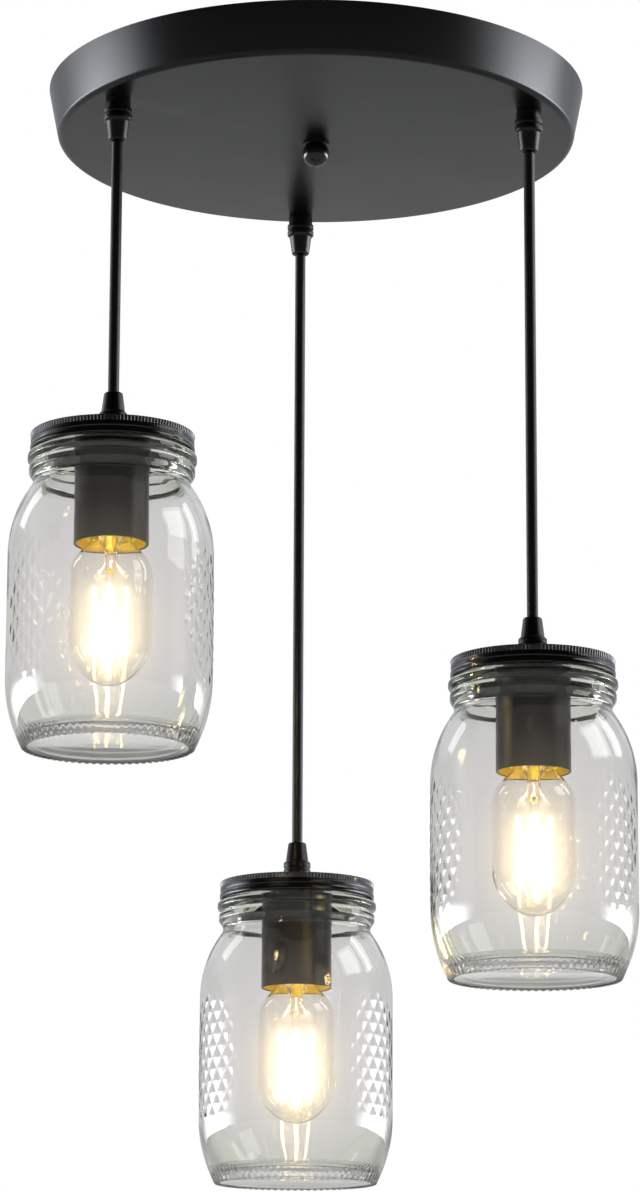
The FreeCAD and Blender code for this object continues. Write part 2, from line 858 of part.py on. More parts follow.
# Pieces that every pendant has, in its own frame with the lid top at height zero
pieces = {
    "lid_grip_cap": [moved(grip_cap(), 0, 0, disc_top)],
    "lid_grip_body": [moved(grip_body(), 0, 0, disc_top)],
    "lid_disc": [lid_disc()],
    "lid_band": [lid_band()],
    "jar": [jar()],
    "socket_cup": [socket_cup()],
    "lamp_holder": [lamp_holder()],
    "screw_shell": [screw_shell()],
    "centre_contact": [centre_contact()],
    "bulb_contact": [bulb_contact()],
    "bulb_cap": [bulb_cap()],
    "bulb_glass": [bulb_glass()],
    "bulb_stem": [bulb_stem()],
    "bulb_filaments": filaments(),
}
for name, drop, turn in pendants:
    x, y = gland_place(turn)
    save([moved(cord_bend(), x, y, 0)], name + "_cord_bend")
    save([moved(cord(drop), x, y, 0)], name + "_cord")
    for piece, shapes in pieces.items():
        save([moved(shape, x, y, -drop) for shape in shapes], name + "_" + piece)
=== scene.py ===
"""Mason jar pendant light: three screw-lid jars on cords below a round black canopy, with lit filament lamps.

Sizes are millimetres with +Z up; MM turns them to Blender's metres. Each pendant is modelled once with its
lid top at height zero, then copied to its place.
"""

import math

import bpy
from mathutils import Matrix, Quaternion, Vector


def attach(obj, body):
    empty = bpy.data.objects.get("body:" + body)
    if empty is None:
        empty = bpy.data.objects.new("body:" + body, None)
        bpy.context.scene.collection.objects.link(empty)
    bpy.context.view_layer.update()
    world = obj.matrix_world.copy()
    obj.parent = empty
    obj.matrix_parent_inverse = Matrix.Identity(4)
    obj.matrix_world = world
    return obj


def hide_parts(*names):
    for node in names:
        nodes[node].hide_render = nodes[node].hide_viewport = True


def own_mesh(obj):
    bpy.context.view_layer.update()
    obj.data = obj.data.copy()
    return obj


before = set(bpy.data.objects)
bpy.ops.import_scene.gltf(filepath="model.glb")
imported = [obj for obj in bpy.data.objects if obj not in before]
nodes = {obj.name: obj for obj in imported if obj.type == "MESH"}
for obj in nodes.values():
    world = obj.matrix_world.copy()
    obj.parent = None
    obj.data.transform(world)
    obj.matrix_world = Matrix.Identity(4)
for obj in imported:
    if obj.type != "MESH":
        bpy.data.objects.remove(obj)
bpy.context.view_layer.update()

MM = 0.001

# Place of each pendant: gland on the canopy, height of its lid top, and how far its jar is turned
gland_r = 130.0
gland_turn = 3.9
pendants = {
    "left": {"gland": 210.0, "lid": -218.0, "jar_turn": -46.0},
    "right": {"gland": 330.0, "lid": -337.0, "jar_turn": -72.0},
    "rear": {"gland": 90.0, "lid": -428.0, "jar_turn": -63.0},
}

# Canopy and its ball nut
canopy_rim_r = 150.0
canopy_floor_r = 144.5
canopy_depth = 28.0
canopy_sheet = 1.2
canopy_edge_r = 3.5
gland_hole_r = 5.1
centre_hole_r = 5.2
washer_t = 1.0

# Cord and grip
cord_r = 3.0
swing_height = -53.4
sway_height = -65.7
straight_reach = 12 * cord_r
grip_height = 24.4
cord_in_grip = 6.0
stem_length = 8.0

# Heights below the lid top, and the jar's wall
disc_top = -1.0
disc_bottom = -1.9
jar_rim = -2.2
jar_foot = -170.8
lattice_height = 0.26
jar_body_r = 55.0 - lattice_height
cup_mouth = -60.0
bulb_end = -140.0

# Filaments of the lamp
filament_top = -84.0
filament_bottom = -122.0
filament_circle_r = 8.5
filament_r = 0.9


def place_of(name):
    """Gland centre of a pendant, in millimetres."""
    turn = math.radians(pendants[name]["gland"] + gland_turn)
    return gland_r * math.cos(turn), gland_r * math.sin(turn)


def soft_profile(corners, degrees_per_step=6.0, longest=10.0):
    """Radius and height points through corners of (radius, height, rounding), each rounding drawn as an arc
    in steps no wider than an angle and no longer than a length."""
    points = []
    for i, corner in enumerate(corners):
        here = Vector(corner[:2])
        if len(corner) < 3:
            points.append(here)
            continue
        rounding = corner[2]
        back = (Vector(corners[i - 1][:2]) - here).normalized()
        ahead = (Vector(corners[(i + 1) % len(corners)][:2]) - here).normalized()
        half = back.angle(ahead) / 2
        centre = here + (back + ahead).normalized() * (rounding / math.sin(half))
        start = here + back * (rounding / math.tan(half)) - centre
        end = here + ahead * (rounding / math.tan(half)) - centre
        sweep = start.angle_signed(end)
        by_angle = round(abs(math.degrees(sweep)) / degrees_per_step)
        by_length = round(rounding * abs(sweep) / longest)
        steps = max(2, by_angle, by_length)
        for k in range(steps + 1):
            turn = -sweep * k / steps
            c, s = math.cos(turn), math.sin(turn)
            points.append(centre + Vector((start.x * c - start.y * s, start.x * s + start.y * c)))
    return points


def divided(points, longest):
    """The same profile with extra points, so that no run is longer than the given length."""
    out = [points[0]]
    for a, b in zip(points, points[1:]):
        count = max(1, math.ceil((b - a).length / longest))
        out.extend(a.lerp(b, k / count) for k in range(1, count + 1))
    return out


def start_piece():
    """Leaves nothing selected, so that an operator acts on the new piece alone."""
    if bpy.context.object and bpy.context.object.mode != "OBJECT":
        bpy.ops.object.mode_set(mode="OBJECT")
    bpy.ops.object.select_all(action="DESELECT")


def picked(piece):
    """Makes a piece the only one that operators act on."""
    start_piece()
    piece.select_set(True)
    bpy.context.view_layer.objects.active = piece


def turned(name, profile, segments, closed=True, smooth_deg=40.0):
    """Piece spun about the Z axis from a profile drawn point by point."""
    same_point = 0.002 * MM
    no_length = 0.001 * MM
    start_piece()
    bpy.ops.mesh.primitive_plane_add(size=MM, enter_editmode=True)
    piece = bpy.context.object
    piece.name = name
    bpy.ops.mesh.select_all(action="SELECT")
    bpy.ops.mesh.merge(type="CENTER")
    here = profile[0]
    bpy.ops.transform.translate(value=(here.x * MM, 0, here.y * MM))
    for point in profile[1:] + profile[:1] * closed:
        step = (point - here) * MM
        bpy.ops.mesh.extrude_vertices_move(TRANSFORM_OT_translate={"value": (step.x, 0, step.y)})
        here = point
    bpy.ops.mesh.select_all(action="SELECT")
    bpy.ops.mesh.spin(steps=segments, angle=math.tau, center=(0, 0, 0), axis=(0, 0, 1))
    bpy.ops.mesh.select_all(action="SELECT")
    bpy.ops.mesh.remove_doubles(threshold=same_point)
    bpy.ops.mesh.dissolve_degenerate(threshold=no_length)
    bpy.ops.mesh.select_all(action="SELECT")
    bpy.ops.mesh.normals_make_consistent(inside=False)
    bpy.ops.object.mode_set(mode="OBJECT")
    bpy.ops.object.shade_smooth_by_angle(angle=math.radians(smooth_deg))
    return piece


def copied(master, name, x, y, z, turn=0.0):
    """Copy of a piece with its own mesh, turned about the Z axis and moved in millimetres."""
    picked(master)
    bpy.ops.object.duplicate()
    piece = bpy.context.object
    piece.name = name
    piece.rotation_euler.z = math.radians(turn)
    piece.location = (x * MM, y * MM, z * MM)
    bpy.ops.object.transform_apply(location=True, rotation=True, scale=True)
    return piece


def joined(name, pieces):
    """Several copies made into one piece."""
    start_piece()
    for piece in pieces:
        piece.select_set(True)
    bpy.context.view_layer.objects.active = pieces[0]
    bpy.ops.object.join()
    pieces[0].name = name
    return pieces[0]


def removed(master):
    """Takes away a piece that was only there to be copied or to cut."""
    bpy.data.objects.remove(master)


def linear(code):
    """Linear colour of an sRGB hex code."""
    parts = [int(code[i:i + 2], 16) / 255 for i in (1, 3, 5)]
    return [p / 12.92 if p <= 0.04045 else ((p + 0.055) / 1.055) ** 2.4 for p in parts] + [1.0]


def add(tree, kind, inputs=None, **settings):
    """New node with its settings, and its inputs set to values or linked to other nodes' outputs."""
    node = tree.nodes.new(kind)
    for key, value in settings.items():
        setattr(node, key, value)
    for key, value in (inputs or {}).items():
        if isinstance(value, bpy.types.NodeSocket):
            tree.links.new(value, node.inputs[key])
        else:
            node.inputs[key].default_value = value
    return node


def new_material(name, **sockets):
    """Material with a Principled shader whose plain sockets are set here."""
    material = bpy.data.materials.new(name)
    material.use_nodes = True
    shader = material.node_tree.nodes["Principled BSDF"]
    for key, value in sockets.items():
        shader.inputs[key.replace("_", " ")].default_value = value
    return material


def linked(material, output, socket):
    """Links a node's output to a socket of a material's shader."""
    tree = material.node_tree
    tree.links.new(output, tree.nodes["Principled BSDF"].inputs[socket])


def per_mm(size):
    """Texture scale that gives a feature of this size in millimetres on metre coordinates."""
    return 1 / (size * MM)


def noise(material, size, detail=2.0, scale=None):
    """Noise with features of a size in millimetres, on a piece's own coordinates or a scaled form of them."""
    tree = material.node_tree
    place = add(tree, "ShaderNodeTexCoord").outputs["Object"]
    if scale:
        place = add(tree, "ShaderNodeMapping", {"Vector": place, "Scale": scale}).outputs["Vector"]
    inputs = {"Vector": place, "Scale": per_mm(size), "Detail": detail}
    return add(tree, "ShaderNodeTexNoise", inputs).outputs["Fac"]


def uneven_gloss(material, pattern, smoothest, roughest):
    """Roughness that changes with a pattern."""
    inputs = {"Value": pattern, "To Min": smoothest, "To Max": roughest}
    linked(material, add(material.node_tree, "ShaderNodeMapRange", inputs).outputs["Result"], "Roughness")


def bumped(material, pattern, strength, height):
    """Fine relief that follows a pattern, with its height in millimetres."""
    inputs = {"Height": pattern, "Strength": strength, "Distance": height * MM}
    linked(material, add(material.node_tree, "ShaderNodeBump", inputs).outputs["Normal"], "Normal")


def satin_black_paint():
    """Baked black powder coat on steel: satin, with a fine orange peel that softens what it mirrors."""
    material = new_material("satin_black_powder_coat", Base_Color=linear("#060606"), Specular_IOR_Level=0.3)
    uneven_gloss(material, noise(material, 45.0), 0.26, 0.34)
    bumped(material, noise(material, 1.6, detail=3.0), 0.02, 0.02)
    return material


def black_lid_lacquer():
    """Baked black lacquer on the tinplate lids: shinier than the powder coat, and a little mottled."""
    material = new_material("black_tinplate_lacquer", Base_Color=linear("#0a0a0a"))
    uneven_gloss(material, noise(material, 9.0, detail=3.0), 0.1, 0.18)
    return material


def gloss_black_enamel():
    """Gloss black enamel of the ball nut, with slow waves where it flowed."""
    material = new_material("gloss_black_enamel", Base_Color=linear("#070707"), Roughness=0.2)
    bumped(material, noise(material, 4.0), 0.06, 0.1)
    return material


def moulded_black_nylon():
    """Injection-moulded black nylon: dull, with a faint grain from the mould."""
    material = new_material("moulded_black_nylon", Base_Color=linear("#050505"), Specular_IOR_Level=0.3)
    grain = noise(material, 0.7)
    uneven_gloss(material, grain, 0.26, 0.36)
    bumped(material, grain, 0.06, 0.02)
    return material


def extruded_black_pvc():
    """Extruded black PVC sheath: smooth and a little shiny, with slow ripples along its length."""
    material = new_material("extruded_black_pvc", Base_Color=linear("#0e0e0e"), Roughness=0.34)
    bumped(material, noise(material, 3.0, scale=(1.0, 1.0, 0.25)), 0.25, 0.12)
    return material


def pressed_jar_glass():
    """Pressed soda-lime glass: clear, olive where it is thick, and a little uneven from the mould."""
    material = new_material("pressed_soda_lime_glass", Base_Color=linear("#ffffff"), Roughness=0.0, IOR=1.5,
                            Transmission_Weight=1.0)
    bumped(material, noise(material, 16.0, detail=0.5), 0.3, 0.6)
    tree = material.node_tree
    olive = add(tree, "ShaderNodeVolumeAbsorption", {"Color": linear("#c8d0aa"), "Density": 40.0})
    tree.links.new(olive.outputs["Volume"], tree.nodes["Material Output"].inputs["Volume"])
    return material


def blown_lamp_glass():
    """Blown lamp glass: thin, clear and very smooth."""
    material = new_material("blown_lamp_glass", Base_Color=linear("#fffdf9"), Roughness=0.0, IOR=1.48,
                            Transmission_Weight=1.0)
    bumped(material, noise(material, 20.0), 0.08, 0.3)
    return material


def glowing_filament():
    """Phosphor-coated filament stick at full glow: warm white over a grainy amber coat."""
    material = new_material("glowing_filament", Emission_Color=linear("#ffe0a0"), Emission_Strength=95.0)
    grain = noise(material, 0.6)
    coat = add(material.node_tree, "ShaderNodeValToRGB", {"Fac": grain})
    coat.color_ramp.elements[0].color = linear("#e09a34")
    coat.color_ramp.elements[1].color = linear("#f7c064")
    linked(material, coat.outputs["Color"], "Base Color")
    uneven_gloss(material, grain, 0.45, 0.65)
    return material


def rolled_brass():
    """Rolled brass of the lamp holder and the lamp's cap: bright yellow, unevenly rubbed."""
    material = new_material("rolled_brass", Base_Color=linear("#e8d82e"), Metallic=1.0)
    uneven_gloss(material, noise(material, 0.9, detail=3.0), 0.25, 0.42)
    return material


def zinc_plated_steel():
    """Zinc-plated steel: pale grey metal with a faint cloudy spangle."""
    material = new_material("zinc_plated_steel", Base_Color=linear("#b9bbbd"), Metallic=1.0)
    tree = material.node_tree
    place = add(tree, "ShaderNodeTexCoord").outputs["Object"]
    spangle = add(tree, "ShaderNodeTexVoronoi", {"Vector": place, "Scale": per_mm(5.0)})
    uneven_gloss(material, spangle.outputs["Distance"], 0.3, 0.5)
    return material


def drawn_nickel():
    """Nickel wire that carries the filaments: bright and slightly warm."""
    material = new_material("drawn_nickel_wire", Base_Color=linear("#c9c5bc"), Metallic=1.0)
    uneven_gloss(material, noise(material, 2.0, detail=3.0), 0.2, 0.4)
    return material


def glazed_porcelain():
    """Glazed porcelain of the lamp holder: off-white under a glossy glaze."""
    material = new_material("glazed_porcelain", Base_Color=linear("#ece7dc"), Roughness=0.15)
    bumped(material, noise(material, 6.0), 0.1, 0.1)
    return material


def moulded_white_nylon():
    """Moulded white nylon of the terminal block: dull, with a faint grain."""
    material = new_material("moulded_white_nylon", Base_Color=linear("#e9e7df"))
    uneven_gloss(material, noise(material, 0.8), 0.4, 0.55)
    return material


def white_wire_pvc():
    """Thin white PVC insulation of the single wires."""
    material = new_material("white_wire_pvc", Base_Color=linear("#d8d8d4"), Roughness=0.4)
    bumped(material, noise(material, 2.5), 0.2, 0.05)
    return material


def coated(piece, material):
    """Gives a piece one material."""
    piece.data.materials.clear()
    piece.data.materials.append(material)


def finished(piece, material, body, slot, *replaced):
    """Gives a piece its finish and the body it moves with, and hides the nodes it stands for. The slot is not
    used.
    """
    coated(piece, material)
    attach(piece, body)
    if replaced:
        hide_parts(*replaced)
    return piece


def lets_light_through(piece):
    """Glass that doesn't block the lamps: light and shade pass as they do through thin clear glass."""
    piece.visible_shadow = False
    piece.visible_diffuse = False


paint = satin_black_paint()
lacquer = black_lid_lacquer()
enamel = gloss_black_enamel()
nylon = moulded_black_nylon()
sheath = extruded_black_pvc()
jar_glass = pressed_jar_glass()
lamp_glass = blown_lamp_glass()
filament_glow = glowing_filament()
brass = rolled_brass()
zinc = zinc_plated_steel()
nickel = drawn_nickel()
porcelain = glazed_porcelain()
white_nylon = moulded_white_nylon()
wire_insulation = white_wire_pvc()

# CAD nodes that are shown as they are
cad_finishes = {
    "crossbar": zinc, "centre_nipple": zinc, "bracket_fasteners": zinc, "finial_washer": paint,
    "canopy_grip_nuts": nylon, "cord_tails": sheath, "terminal_block": white_nylon,
    "conductors": wire_insulation,
}
for name in pendants:
    cad_finishes.update({
        name + "_lid_disc": lacquer, name + "_lamp_holder": porcelain, name + "_screw_shell": brass,
        name + "_centre_contact": brass, name + "_bulb_contact": nylon, name + "_bulb_cap": brass,
    })
for node, material in cad_finishes.items():
    coated(nodes[node], material)


def canopy():
    """Pressed canopy, open at the top, with the holes for the grips and the nipple."""
    sheet = canopy_sheet
    inner_floor = sheet - canopy_depth
    profile = soft_profile([
        (canopy_rim_r, 0),
        (canopy_floor_r, -canopy_depth, canopy_edge_r),
        (centre_hole_r, -canopy_depth),
        (centre_hole_r, inner_floor),
        (canopy_floor_r - sheet, inner_floor, canopy_edge_r - sheet),
        (canopy_rim_r - sheet, 0),
    ], 8.0)
    piece = turned("canopy_pressing", profile, 192)
    drill_length = 6 * sheet
    for name in pendants:
        x, y = place_of(name)
        start_piece()
        bpy.ops.mesh.primitive_cylinder_add(
            vertices=48, radius=gland_hole_r * MM, depth=drill_length * MM,
            location=(x * MM, y * MM, (sheet / 2 - canopy_depth) * MM))
        drill = bpy.context.object
        picked(piece)
        cut = piece.modifiers.new("gland_hole", "BOOLEAN")
        cut.object = drill
        bpy.ops.object.modifier_apply(modifier=cut.name)
        removed(drill)
    return finished(piece, paint, "canopy", "black_paint", "canopy_shell")


def ball_nut():
    """Ball nut below the washer."""
    top = -canopy_depth - washer_t
    ball_r, neck_r, neck_h = 7.5, 5.8, 0.4
    bore_end = top - 9.5
    rise = math.sqrt(ball_r ** 2 - neck_r ** 2)
    centre = top - neck_h - rise
    start = math.asin(neck_r / ball_r)
    steps = 24
    turns = [start + (math.pi - start) * k / steps for k in range(steps + 1)]
    ball = [Vector((ball_r * math.sin(t), centre + ball_r * math.cos(t))) for t in turns]
    ball[-1].x = 0
    profile = [Vector((centre_hole_r, top)), Vector((neck_r, top))] + ball
    profile += [Vector((0, bore_end)), Vector((centre_hole_r, bore_end))]
    piece = turned("ball_nut_turning", profile, 64)
    return finished(piece, enamel, "finial_ball", "black_paint", "finial_ball")


canopy()
ball_nut()


def grip_pieces():
    """Body and cap of a cord grip, standing on a panel at height zero."""
    bore_r, thread_r, stem_r, waist_r, collar_r = 3.3, 4.6, 5.0, 7.0, 7.7
    body_top, thread_top = 9.8, 17.8
    cap_bore_r, cap_bore_top = 4.7, 18.1
    body = turned("grip_body", soft_profile([
        (bore_r, -stem_length), (stem_r, -stem_length), (stem_r, 0), (6.7, 0, 0.2), (waist_r, 6.2),
        (collar_r, 6.2, 0.5), (collar_r, 9.0, 0.5), (waist_r, 9.0), (waist_r, body_top),
        (thread_r, body_top), (thread_r, thread_top), (bore_r, thread_top),
    ], 15.0), 48)
    cap = turned("grip_cap", soft_profile([
        (cap_bore_r, body_top), (collar_r, body_top, 0.5), (collar_r, 12.6, 0.9), (6.4, 13.8, 0.4),
        (5.0, grip_height, 1.2), (bore_r, grip_height, 0.3), (bore_r, cap_bore_top),
        (cap_bore_r, cap_bore_top),
    ], 12.0), 48)
    return body, cap


def upside_down(piece):
    """The same piece turned end for end, as it hangs below the canopy."""
    picked(piece)
    piece.rotation_euler.x = math.pi
    bpy.ops.object.transform_apply(rotation=True)


def grips():
    """Cord grips standing on the lids, and the same ones hanging below the canopy."""
    body, cap = grip_pieces()
    for name in pendants:
        x, y = place_of(name)
        z = pendants[name]["lid"] + disc_top
        for master, part in ((body, "body"), (cap, "cap")):
            piece = copied(master, name + "_grip_" + part + "_moulding", x, y, z)
            finished(piece, nylon, name + "_lid", "black_nylon", name + "_lid_grip_" + part)
    for master, piece, node in ((body, "canopy_grip_body_mouldings", "canopy_grip_bodies"),
                                (cap, "canopy_grip_cap_mouldings", "canopy_grip_caps")):
        upside_down(master)
        hung = [copied(master, piece, *place_of(name), -canopy_depth) for name in pendants]
        finished(joined(piece, hung), nylon, "canopy", "black_nylon", node)
        removed(master)


grips()


def route_points(name, points):
    """Points along a cord's smooth line, read from a NURBS spline through its control points."""
    curve = bpy.data.curves.new(name, "CURVE")
    curve.dimensions = "3D"
    spline = curve.splines.new("NURBS")
    spline.points.add(len(points) - 1)
    for control, point in zip(spline.points, points):
        control.co = (*point, 1.0)
    spline.order_u = 3
    spline.use_endpoint_u = True
    spline.resolution_u = 12
    route = bpy.data.objects.new(name, curve)
    bpy.context.scene.collection.objects.link(route)
    line = bpy.data.meshes.new_from_object(route)
    found = [vertex.co.copy() for vertex in line.vertices]
    bpy.data.objects.remove(route)
    bpy.data.meshes.remove(line)
    return found


def cord_tube(name, line, ball_below):
    """Round cord along its line from the top down, with a ball end above and, where it bends, below."""
    dome_step = 15
    turns = [math.radians(a) for a in range(0, 90, dome_step)]
    dome = [Vector((cord_r * math.sin(t), cord_r * math.cos(t))) for t in turns]
    x, y = line[0].x / MM, line[0].y / MM
    heights = [point.z / MM for point in line]
    profile = [Vector((p.x, heights[0] + p.y)) for p in dome]
    profile += [Vector((cord_r, z)) for z in heights]
    if ball_below:
        profile += [Vector((p.x, heights[-1] - p.y)) for p in reversed(dome)]
    else:
        profile.append(Vector((0, heights[-1])))
    master = turned(name + "_straight", profile, 32, closed=False)
    piece = copied(master, name, x, y, 0)
    removed(master)
    return piece


def cords():
    """Each cord: a short bend at the canopy grip and the straight length down into the lid grip."""
    for name in pendants:
        x, y = place_of(name)
        bottom = pendants[name]["lid"] + disc_top + grip_height - cord_in_grip
        bend_heights = (swing_height, (swing_height + sway_height) / 2, sway_height)
        heights = (sway_height, sway_height - straight_reach, bottom + straight_reach, bottom)
        bend = route_points(name + "_bend_route", [(x * MM, y * MM, z * MM) for z in bend_heights])
        straight = route_points(name + "_cord_route", [(x * MM, y * MM, z * MM) for z in heights])
        top_piece = cord_tube(name + "_cord_bend_sheath", bend, ball_below=True)
        finished(top_piece, sheath, name + "_sway", "cord_sheath", name + "_cord_bend")
        piece = cord_tube(name + "_cord_sheath", straight, ball_below=False)
        finished(piece, sheath, name + "_cord", "cord_sheath", name + "_cord")
        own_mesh(piece)


cords()


def lid_band():
    """Screw band: a turned rim, its top edge rolled into fine upright ridges, with a rolled bead below."""
    ridges, steps = 144, 6
    crest, ridge_depth = 44.0, 0.6
    ridged_top, ridged_bottom, ridged_r = -0.4, -3.1, 43.45
    hole_r, wall_r, bead_r, inner_r = 37.5, 43.75, 44.0, 42.75
    skirt_end, sheet = -9.8, 0.9
    profile = soft_profile([
        (hole_r, 0), (43.4, 0, 0.4), (crest, -0.5), (43.54, -3.0), (wall_r, -3.3), (wall_r, -5.6, 0.3),
        (43.2, -6.1, 0.3), (wall_r, -6.6, 0.3), (bead_r, -7.4, 0.8), (bead_r, -9.2, 0.6),
        (43.4, skirt_end, 0.3), (inner_r, skirt_end), (inner_r, -sheet), (hole_r, -sheet),
    ], 15.0)
    piece = turned("band_turning", profile, ridges * steps)
    for step in range(1, steps):
        bpy.ops.object.mode_set(mode="EDIT")
        bpy.ops.mesh.select_mode(type="VERT")
        bpy.ops.mesh.select_all(action="DESELECT")
        bpy.ops.object.mode_set(mode="OBJECT")
        for vertex in piece.data.vertices:
            x, y, z = (c / MM for c in vertex.co)
            spot = round(math.atan2(y, x) / math.tau * ridges * steps)
            on_edge = math.hypot(x, y) > ridged_r and ridged_bottom < z < ridged_top
            vertex.select = on_edge and spot % steps == step
        r = crest - ridge_depth * (1 - math.cos(math.tau * step / steps)) / 2
        bpy.ops.object.mode_set(mode="EDIT")
        bpy.ops.transform.resize(value=(r / crest, r / crest, 1), center_override=(0, 0, 0))
        bpy.ops.object.mode_set(mode="OBJECT")
    bpy.ops.object.shade_smooth_by_angle(angle=math.radians(60.0))
    return piece


def jar_profile():
    """Jar wall from the lip round the outside, under the foot and back up the inside. The outside of the body
    is drawn in fine steps for its raised pattern."""
    mouth_r, lip_r, inner_r = 38.0, 41.4, 51.8
    bead_r, low_bead_r, neck_r = 45.2, 44.3, 41.2
    body_top, body_bottom = -47.6, -150.0
    inner_floor, floor_r = -162.8, 42.4
    arc_step, fine_step, coarse_step = 9.0, 1.0, 4.0
    corners = [
        (mouth_r, jar_rim, 1.2), (lip_r, jar_rim, 1.0), (lip_r, -10.1, 0.6),
        (bead_r, -11.8, 1.7), (bead_r, -15.2, 1.7), (43.0, -17.0, 0.6),
        (low_bead_r, -18.8, 1.7), (low_bead_r, -22.2, 1.7), (neck_r, -27.0, 4.0),
        (jar_body_r, body_top, 62.0), (jar_body_r, body_bottom, 76.0),
        (45.6, jar_foot, 1.2), (43.2, jar_foot, 0.5), (floor_r, -170.1, 0.8), (0, -169.3),
        (0, inner_floor), (floor_r, inner_floor, 7.0),
        (inner_r, body_bottom, 72.8), (inner_r, body_top, 58.8), (mouth_r, -28.6, 6.0),
    ]
    fine = soft_profile(corners, arc_step, fine_step)
    coarse = soft_profile(corners, arc_step, coarse_step)
    under = next(i for i, point in enumerate(fine) if point.x == 0)
    floor = next(i for i, point in enumerate(coarse) if point.x == 0)
    wall = [i for i, point in enumerate(fine[:under]) if abs(point.x - jar_body_r) < 0.001]
    body = divided(fine[wall[0]:wall[-1] + 1], fine_step)
    return fine[:wall[0]] + body + fine[wall[-1] + 1:under] + coarse[floor:]


def lozenge(across, along):
    """Height from 0 to 1 of a lattice of lozenges with soft edges, by the place in millimetres from its
    centre."""
    column, row = 9.0, 13.0
    half_width, half_height = 3.4, 5.4
    edge_slope = 1.5
    nearest = 2.0
    for shift in (0.0, 0.5):
        u = (across / column + shift) % 1.0 - 0.5
        v = (along / row + shift) % 1.0 - 0.5
        nearest = min(nearest, abs(u) * column / half_width + abs(v) * row / half_height)
    rise = min(1.0, max(0.0, edge_slope * (1.0 - nearest)))
    return rise * rise * (3 - 2 * rise)


def jar():
    """Jar, with three oval panels of a plain raised lattice on its wall and fine grooves round its heel."""
    segments, groove_pitch, groove_width = 432, 6, 3
    groove_top, groove_inner_r, groove_depth = jar_foot + 2.2, 42.8, 0.5
    wall_top, wall_bottom, wall_r = -60.0, -146.0, 52.6
    panels, panel_middle, panel_half_width, panel_half_height = 3, -103.0, 27.0, 39.0
    panel_fade, least_height = 8.0, 0.01
    piece = turned("jar_pressing", jar_profile(), segments, smooth_deg=60.0)
    relief = piece.vertex_groups.new(name="raised_lattice")
    grooves = piece.vertex_groups.new(name="foot_grooves")
    for vertex in piece.data.vertices:
        x, y, z = (c / MM for c in vertex.co)
        r = math.hypot(x, y)
        turn = math.atan2(x, -y)
        if z < groove_top and r > groove_inner_r:
            if round(turn / math.tau * segments) % groove_pitch < groove_width:
                grooves.add([vertex.index], 1.0, "REPLACE")
            continue
        if not (wall_bottom < z < wall_top and r > wall_r):
            continue
        along = z - panel_middle
        for panel in range(panels):
            middle = math.tau * panel / panels
            across = ((turn - middle + math.pi) % math.tau - math.pi) * jar_body_r
            inside = 1.0 - math.hypot(across / panel_half_width, along / panel_half_height)
            if inside > 0:
                height = lozenge(across, along) * min(1.0, panel_fade * inside)
                if height > least_height:
                    relief.add([vertex.index], height, "REPLACE")
    picked(piece)
    for group, height in (("raised_lattice", lattice_height), ("foot_grooves", -groove_depth)):
        swell = piece.modifiers.new(group, "DISPLACE")
        swell.vertex_group = group
        swell.strength = height * MM
        swell.mid_level = 0.0
        bpy.ops.object.modifier_apply(modifier=swell.name)
    piece.vertex_groups.clear()
    return piece


def socket_cup():
    """Drawn socket cup, with its threaded boss inside the closed end."""
    outer_r, inner_r, boss_r, bore_r = 20.0, 18.8, 9.0, 5.1
    inner_end, boss_end = -3.4, -9.0
    return turned("cup_drawing", soft_profile([
        (bore_r, disc_bottom), (outer_r, disc_bottom, 1.5), (outer_r, cup_mouth, 0.4),
        (inner_r, cup_mouth, 0.4), (inner_r, inner_end), (boss_r, inner_end), (boss_r, boss_end),
        (bore_r, boss_end),
    ], 12.0), 96)


def cup_lining():
    """Brass skirt of the screw shell, inside the mouth of the cup, with the flange that covers the holder."""
    hole_r, outer_r, inner_r = 14.4, 18.7, 18.45
    flange_top, flange_bottom, skirt_end = -53.2, -53.5, -59.5
    return turned("shell_skirt", soft_profile([
        (hole_r, flange_top), (outer_r, flange_top), (outer_r, skirt_end), (inner_r, skirt_end),
        (inner_r, flange_bottom), (hole_r, flange_bottom),
    ]), 96)


def bulb_glass():
    """Blown tube of the lamp, open at its neck inside the cap, with a long domed end."""
    tube_r, tube_inner_r = 22.5, 21.6
    neck_r, neck_inner_r = 11.2, 10.3
    wall = 0.9
    neck_top, shoulder, middle = -49.0, -71.0, -100.0
    dome, dome_steps = 28.0, 24
    outside = soft_profile([
        (neck_inner_r, neck_top), (neck_r, neck_top), (neck_r, -58.7, 4.0), (tube_r, shoulder, 17.0),
        (tube_r, middle),
    ], 5.0)
    inside = soft_profile([
        (tube_inner_r, middle), (tube_inner_r, shoulder, 16.1), (neck_inner_r, -59.15, 4.9),
        (neck_inner_r, neck_top),
    ], 5.0)
    end, end_inside = [], []
    for k in range(dome_steps + 1):
        turn = math.pi / 2 * k / dome_steps
        out, rest = math.cos(turn), 1 - math.sin(turn)
        end.append(Vector((tube_r * out, bulb_end + dome * rest)))
        end_inside.append(Vector((tube_inner_r * out, bulb_end + wall + (dome - wall) * rest)))
    end[-1].x = end_inside[-1].x = 0.0
    return turned("lamp_tube", outside[:-1] + end + end_inside[::-1] + inside[1:-1], 96)


def bulb_stem():
    """Glass stem: a flare, a pinched tube and the rod that carries the filaments."""
    flare_r, tube_r, rod_r = 10.1, 3.5, 1.2
    flare_top, rod_end = -50.0, -125.0
    return turned("lamp_stem", soft_profile([
        (0, flare_top), (flare_r, flare_top), (flare_r, -51.0), (tube_r, -64.0, 4.0), (tube_r, -74.0, 1.0),
        (rod_r, -76.0), (rod_r, rod_end, 0.6), (0, rod_end),
    ], 10.0), 48)


